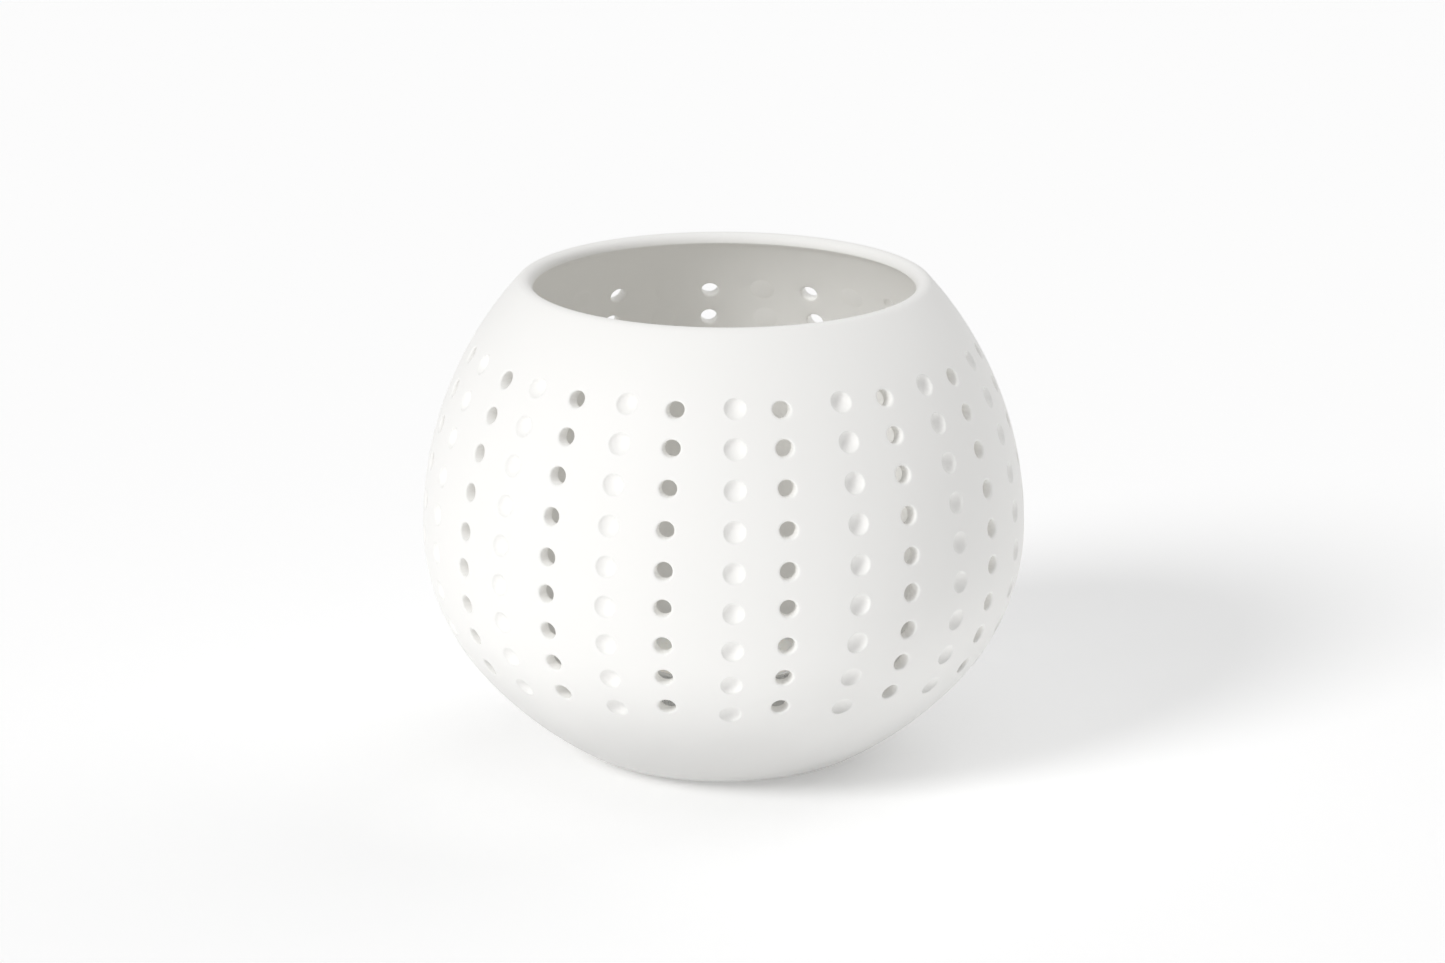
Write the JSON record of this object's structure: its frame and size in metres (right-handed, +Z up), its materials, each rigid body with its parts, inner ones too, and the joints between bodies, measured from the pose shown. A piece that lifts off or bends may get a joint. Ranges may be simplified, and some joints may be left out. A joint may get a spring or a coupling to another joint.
{
  "type": "tealight holder",
  "caption": "Round unglazed white porcelain bowl with columns of pierced holes and pressed dimples, holding a tealight that lifts out through its open mouth.",
  "frame": {"origin": "middle of the flat foot, on the surface that the bowl stands on", "axes": "+Z up along the bowl's axis, towards the mouth; -Y is the front; +X is to the right seen from the front"},
  "size_m": [0.12, 0.12, 0.0967],
  "materials": {
    "bisque_porcelain": "matt, unglazed, with a fine even grain",
    "cup_aluminium": "thin drawn sheet, satin",
    "paraffin_wax": "white paraffin wax, soft sheen",
    "tab_tinplate": "pressed tinplate",
    "wick_cotton": "braided cotton, waxed"
  },
  "bodies": {
    "bowl": {"porcelain_bowl": "bisque_porcelain"},
    "tealight": {"tealight_cup": "cup_aluminium", "candle_wax": "paraffin_wax", "wick_tab": "tab_tinplate", "wick": "wick_cotton"}
  },
  "joints": [
    {"name": "tealight_lift", "type": "slide", "parent": "bowl", "child": "tealight", "axis": [0, 0, 1], "range_m": [0, 0.105]}
  ]
}
